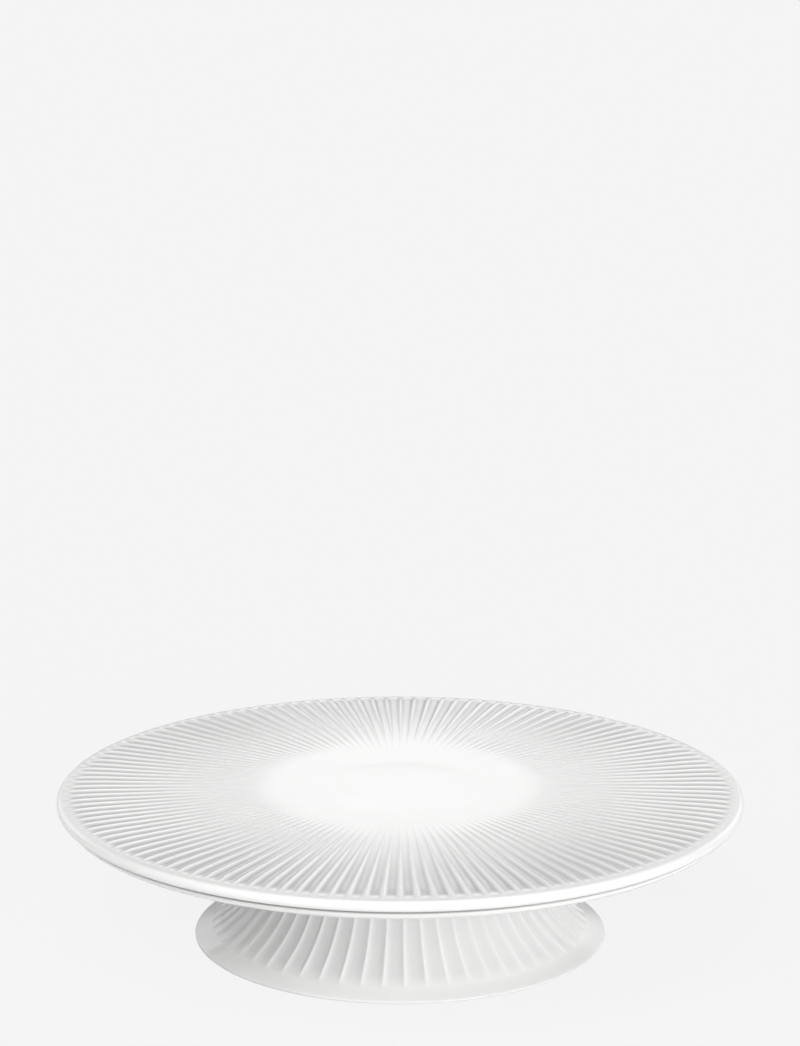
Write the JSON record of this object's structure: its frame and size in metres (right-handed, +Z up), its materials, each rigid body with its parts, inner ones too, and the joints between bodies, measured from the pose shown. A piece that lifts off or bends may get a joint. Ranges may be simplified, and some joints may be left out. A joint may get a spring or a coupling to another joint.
{
  "type": "cake stand",
  "caption": "Low round cake stand in white glazed ceramic: a flat plate with radial flutes and a rounded lip on a flared, hollow, fluted foot.",
  "frame": {"origin": "on the axis of revolution, in the plane that the foot ring stands on", "axes": "+Z up along the axis of revolution; -Y is the front, +X to the right seen from the front"},
  "size_m": [0.2998, 0.2998, 0.0668],
  "materials": {
    "white_glaze": "gloss",
    "foot_glaze": "gloss",
    "slip_bead": "satin"
  },
  "bodies": {
    "root": {"plate": "white_glaze", "foot": "foot_glaze", "outer_luting_seam": "foot_glaze", "inner_luting_seam": "slip_bead"}
  },
  "joints": []
}
